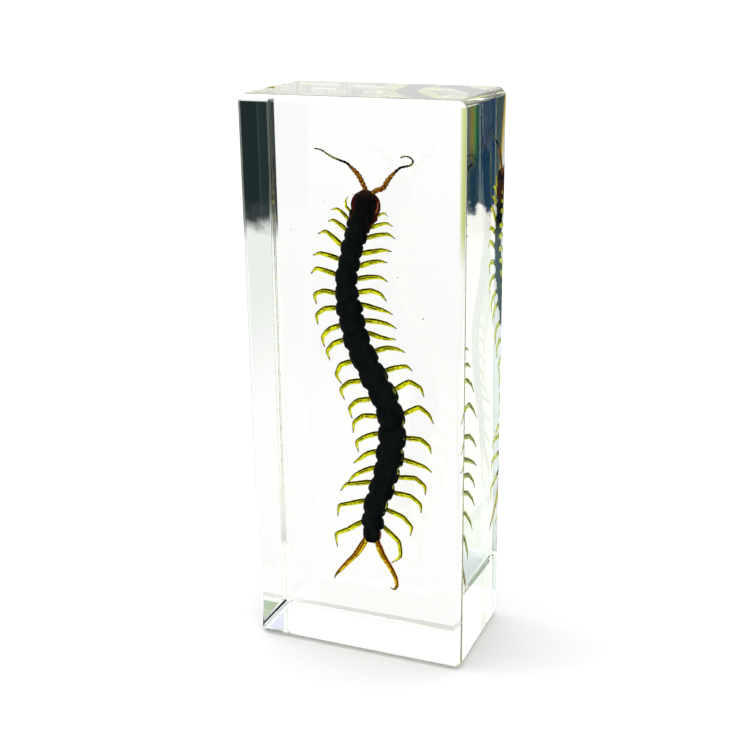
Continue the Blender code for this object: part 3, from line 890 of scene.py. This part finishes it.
def legMaterial(name, colours):
    material, start = newMaterial(name)
    outer, along, front = start.mark("outer"), start.mark("along"), start.mark("front")
    streak = start.noise(1700.0, 4.0, 0.7)
    wavy = outer + (streak - 0.5) * 0.6
    # painted shade: dark lines stand in for the leg's edges darkening in the resin. They lie on the upper
    # side, with only a fainter one along the lower edge, so light still comes in from below and behind
    upperEdgeShade = (wavy + front * 0.25).ramp(0.57, 0.67) * outer.ramp(0.985, 0.90)
    edges = start.math("MAXIMUM", upperEdgeShade, (wavy * -1 + front * 0.1).ramp(0.92, 1.04) * 0.6)
    dashes = start.noise(520.0, 2.0).ramp(0.46, 0.51) * along.ramp(0.90, 0.50) * front.ramp(-0.1, 0.2)
    vein = start.math("ABSOLUTE", wavy + 0.05).ramp(0.26, 0.14) * dashes
    shade = start.math("MAXIMUM", edges, vein)
    # painted shade: the upper, front half of a walking leg is darker; on the tail legs the same half is
    # orange
    colour = start.mix(outer.ramp(-0.15, 0.15) * front.ramp(-0.4, 0.1), colours["body"], colours["outerSide"])
    colour = start.mix(shade, colour, colours["shade"])
    dusk = along.ramp(0.74, 0.82) * along.ramp(0.95, 0.90) * colours["dusk"]
    colour = start.mix(dusk, colour, colours["shade"])
    colour = start.mix(start.mark("joint").ramp(0.2, 0.9) * 0.6, colour, colours["joint"])
    colour = start.mix(along.ramp(0.88, 0.98), colour, colours["tip"])
    return showSurface(material, throughLight(start, colour, 0.7, start.bump(streak, 0.25, 0.00006)))


def feelerMaterial():
    material, start = newMaterial("feeler_brown")
    along = start.mark("along") + (start.noise(1200.0) - 0.5) * 0.10
    rootPatches = start.noise(2600.0, 3.0).ramp(0.42, 0.60)
    endPatches = start.noise(1300.0, 2.0).ramp(0.45, 0.55)
    root = start.mix(rootPatches, feelerColours["root"], feelerColours["rootPatches"])
    end = start.mix(endPatches, feelerColours["end"], feelerColours["endPatches"])
    colour = start.mix(along.ramp(0.62, 0.70), feelerColours["middle"], end)
    colour = start.mix(along.ramp(0.44, 0.50), root, colour)
    # painted shade: a dark line along the outer edge
    colour = start.mix(start.mark("outer").ramp(0.60, 0.95) * 0.8, colour, feelerColours["outerSide"])
    colour = start.mix(start.mark("joint").ramp(0.3, 1.0) * 0.6, colour, feelerColours["joint"])
    return showSurface(material, throughLight(start, colour, 0.65))


def dustMaterial():
    material, start = newMaterial("dust_grey")
    colour = start.mix(start.noise(4000.0), dustColours["dark"], dustColours["pale"])
    return showSurface(material, start.node("ShaderNodeBsdfPrincipled", {}, {
        "Base Color": colour, "Roughness": 0.9,
    }))


# The studio: a pale floor, soft light, and cards that show only in the block and give it its edges

studio = {
    # metres, as are all lengths here
    "floorRadius": 6.0,
    "floorDrop": 0.0002,
    "sheetHeight": 0.001,
    "floorColour": (0.58, 0.58, 0.577),
    "skyColour": (1.17, 1.17, 1.17),
    "overheadColour": (3.0, 3.0, 3.0),
    "overheadFrom": (0.60, 0.98),          # sines of the heights above level between which the sky brightens
    "lampPlace": (-0.55, -0.10, 1.25),
    "lampSize": 0.6,
    "lampWatts": 5.0,
    # how often light may turn; the many walls of a clear block need a lot
    "bounces": {"max_bounces": 32, "diffuse_bounces": 16, "transmission_bounces": 24, "glossy_bounces": 12},
    # Each card faces the block. Its turn is in degrees around the block, from behind it towards the right.
    # Its columns of colour run upwards, or lean as they rise, and others may take over low down. It fades
    # in at its foot, or has another colour below; ragged is the scale and the height of that line's noise.
    "plainCard": {"upwards": (0.0, 0.13), "foot": (0.0, 0.012), "ragged": (160.0, 0.012)},
    "cards": (
        {"name": "card_behind", "turn": 12.0, "distance": 0.36, "sideways": (-0.075, 0.26),
         "columns": ((0.0, (0.012, 0.020, 0.022)), (0.066, (0.012, 0.024, 0.027)),
                     (0.0742, (0.022, 0.036, 0.038)), (0.0747, (0.050, 0.068, 0.068)),
                     (0.0752, (0.014, 0.026, 0.030)), (0.082, (0.016, 0.026, 0.026)))},
        {"name": "card_right", "turn": 115.0, "distance": 0.04,
         "sideways": (-0.06, 0.04), "upwards": (0.0, 0.125),
         "columns": ((0.0, (0.012, 0.022, 0.024)),), "foot": (0.066, 0.078)},
        {"name": "card_far_left", "turn": -52.0, "distance": 0.30, "sideways": (-0.06, 0.08),
         "columns": ((-0.060, (0.20, 0.30, 0.15)), (-0.025, (0.62, 0.68, 0.22)), (0.030, (0.70, 0.74, 0.28)),
                     (0.065, (0.82, 0.84, 0.60))),
         "foot": (-0.004, 0.022)},
        {"name": "card_front_right", "turn": 157.0, "distance": 0.40, "sideways": (-0.12, 0.12),
         "columns": ((0.0, (0.015, 0.025, 0.03)),)},
        {"name": "card_front_left", "turn": 180.0, "distance": 0.014,
         "sideways": (0.0221, 0.0292), "upwards": (0.0, 0.112),
         "columns": ((0.0221, (0.035, 0.085, 0.10)), (0.0232, (0.012, 0.055, 0.12)),
                     (0.0242, (0.016, 0.050, 0.13)), (0.0251, (0.012, 0.055, 0.085)),
                     (0.0258, (0.016, 0.13, 0.09)), (0.0262, (0.15, 0.34, 0.06)),
                     (0.0268, (0.34, 0.24, 0.06)), (0.0274, (0.14, 0.18, 0.13)),
                     (0.0280, (0.10, 0.14, 0.12))),
         "lowColumns": ((0.0221, (0.035, 0.085, 0.10)), (0.0238, (0.014, 0.060, 0.13)),
                        (0.0262, (0.016, 0.050, 0.11)), (0.0276, (0.025, 0.07, 0.085))),
         "lowBelow": (0.088, 0.096),
         "foot": (0.0800, 0.0818), "footColour": (1.42, 1.37, 1.30), "ragged": (330.0, 0.010)},
        {"name": "card_back_left", "turn": 0.0, "distance": 0.014,
         "sideways": (-0.0302, -0.0270), "upwards": (0.070, 0.112), "lean": -0.0545,
         "columns": ((-0.0345, (0.030, 0.075, 0.085)), (-0.0336, (0.05, 0.095, 0.08)),
                     (-0.0334, (0.75, 0.42, 0.06)), (-0.0332, (0.95, 0.80, 0.20)),
                     (-0.0329, (1.0, 1.0, 0.95))),
         "foot": (0.0760, 0.0790), "ragged": (620.0, 0.004)},
        {"name": "card_high_behind", "turn": 28.0, "distance": 0.36,
         "sideways": (-0.07, 0.07), "upwards": (0.15, 0.34), "lean": -1.136,
         "columns": ((-0.262, (0.82, 0.82, 1.0)), (-0.256, (1.05, 1.04, 1.08)), (-0.2533, (0.55, 0.58, 0.16)),
                     (-0.2515, (0.50, 0.60, 0.38)), (-0.240, (0.50, 0.66, 0.55))),
         "foot": (0.15, 0.152), "ragged": (160.0, 0.0)},
        {"name": "card_high_in_front", "turn": -162.0, "distance": 0.40,
         "sideways": (-0.09, 0.09), "upwards": (0.15, 0.38),
         "columns": ((0.0, (0.58, 0.72, 0.55)),),
         "foot": (0.15, 0.152), "ragged": (160.0, 0.0)},
    ),
    # Sheets on the floor are seen only mirrored or only through the block; what runs upwards on a card
    # runs away from the viewer on a sheet.
    "sheetSideways": (-2.5, 2.5),
    "sheets": (
        {"name": "dark_sheet_in_front", "upwards": (-2.5, -0.02), "mirrored": True,
         "columns": ((0.0, (0.01, 0.015, 0.015)),)},
        {"name": "slate_sheet_behind", "upwards": (0.02, 2.5), "mirrored": True,
         "columns": ((0.0, (0.28, 0.46, 0.47)),)},
        {"name": "grey_sheet_in_front", "upwards": (-2.5, -0.013), "mirrored": False,
         "columns": ((0.0, (0.35, 0.37, 0.37)),),
         "foot": (-0.10, -0.18), "end": (-0.62, -0.22), "ragged": (10.0, 0.0)},
        {"name": "pale_sheet_behind", "upwards": (0.0128, 2.5), "mirrored": False,
         "columns": ((0.03, (1.075, 1.065, 1.065)), (0.11, (0.93, 0.96, 0.93)))},
    ),
}


def stagePiece(name, shape, material, place=Matrix.Identity(4)):
    mesh = bpy.data.meshes.new(name)
    shape.to_mesh(mesh)
    shape.free()
    mesh.materials.append(material)
    piece = bpy.data.objects.new(name, mesh)
    piece.matrix_world = place
    scene.collection.objects.link(piece)
    return piece


def flatShape(card):
    # a flat rectangle with sideways along x and upwards along y
    (left, right), (low, high) = card["sideways"], card["upwards"]
    corners = ((left, low), (right, low), (right, high), (left, high))
    shape = bmesh.new()
    shape.faces.new([shape.verts.new((x, y, 0)) for x, y in corners])
    return shape


def floorMaterial():
    material, start = newMaterial("pale_floor")
    return showSurface(material, start.node("ShaderNodeBsdfPrincipled", {}, {
        "Base Color": studio["floorColour"], "Roughness": 1.0, "IOR": 1.0,
    }))


def columnColours(start, sideways, columns):
    colour = columns[0][1]
    for (before, _), (after, following) in zip(columns, columns[1:]):
        colour = start.mix(sideways.ramp(before, after), colour, following)
    return colour


def cardMaterial(card):
    # soft columns of colour from side to side, over a ragged line at the foot
    material, start = newMaterial(card["name"])
    place = start.node("ShaderNodeTexCoord", output="Object")
    sideways = start.node("ShaderNodeSeparateXYZ", {}, {0: place}, output="X")
    upwards = start.node("ShaderNodeSeparateXYZ", {}, {0: place}, output="Y")
    sideways = sideways + upwards * card.get("lean", 0.0)
    colour = columnColours(start, sideways, card["columns"])
    if "lowColumns" in card:
        lowColour = columnColours(start, sideways, card["lowColumns"])
        colour = start.mix(upwards.ramp(*card["lowBelow"]), lowColour, colour)
    surface = start.node("ShaderNodeEmission", {}, {"Color": colour})
    if "foot" in card:
        scale, height = card["ragged"]
        edge = upwards + (start.noise(scale, 2.0) - 0.5) * height
        if "footColour" in card:
            below = start.node("ShaderNodeEmission", {}, {"Color": card["footColour"]})
        else:
            below = start.node("ShaderNodeBsdfTransparent")
        shown = edge.ramp(*card["foot"])
        if "end" in card:
            shown = shown * upwards.ramp(*card["end"])
        surface = start.node("ShaderNodeMixShader", {}, {0: shown, 1: below, 2: surface})
    return showSurface(material, surface)


def makeCard(card, place, mirrored=True, through=True):
    # seen only in mirror images or through the block, it neither lights nor shades anything
    piece = stagePiece(card["name"], flatShape(card), cardMaterial(card), place)
    piece.visible_camera = False
    piece.visible_diffuse = False
    piece.visible_shadow = False
    piece.visible_glossy = mirrored
    piece.visible_transmission = through


def makeStudio():
    shape = bmesh.new()
    bmesh.ops.create_circle(shape, cap_ends=True, segments=64, radius=studio["floorRadius"],
                            matrix=Matrix.Translation((0, 0, -studio["floorDrop"])))
    stagePiece("floor", shape, floorMaterial())

    upright = Matrix.Rotation(math.pi / 2, 4, "X")
    for card in studio["cards"]:
        turned = Matrix.Rotation(-math.radians(card["turn"]), 4, "Z")
        away = Matrix.Translation((0, card["distance"], 0))
        makeCard({**studio["plainCard"], **card}, turned @ away @ upright)
    raised = Matrix.Translation((0, 0, studio["sheetHeight"]))
    for sheet in studio["sheets"]:
        makeCard({"sideways": studio["sheetSideways"], **sheet}, raised,
                 mirrored=sheet["mirrored"], through=not sheet["mirrored"])

    world = bpy.data.worlds.new("studio")
    scene.world = world
    world.use_nodes = True
    world.node_tree.nodes.clear()
    start = Wire(world.node_tree)
    direction = start.node("ShaderNodeTexCoord")
    upwards = start.node("ShaderNodeSeparateXYZ", {}, {0: direction}, output="Z")
    sky = start.mix(upwards.ramp(*studio["overheadFrom"]), studio["skyColour"], studio["overheadColour"])
    light = start.node("ShaderNodeBackground", {}, {"Color": sky, "Strength": 1.0})
    output = start.tree.nodes.new("ShaderNodeOutputWorld")
    start.tree.links.new(light.socket, output.inputs["Surface"])

    lamp = bpy.data.lights.new("soft_lamp", "AREA")
    lamp.shape = "DISK"
    lamp.size = studio["lampSize"]
    lamp.energy = studio["lampWatts"]
    holder = bpy.data.objects.new("soft_lamp", lamp)
    holder.location = studio["lampPlace"]
    holder.rotation_euler = (-Vector(studio["lampPlace"])).to_track_quat("-Z", "Y").to_euler()
    holder.visible_glossy = False
    holder.visible_transmission = False
    scene.collection.objects.link(holder)

    scene.view_settings.view_transform = "Standard"
    for name, count in studio["bounces"].items():
        setattr(scene.cycles, name, count)
    print("made the studio")


makeCamera()
makeStudio()
makeResin()
makeTrunk()
makePlates()
makeHead()
makeLegs()
makeFeelers()
makeSpecks()
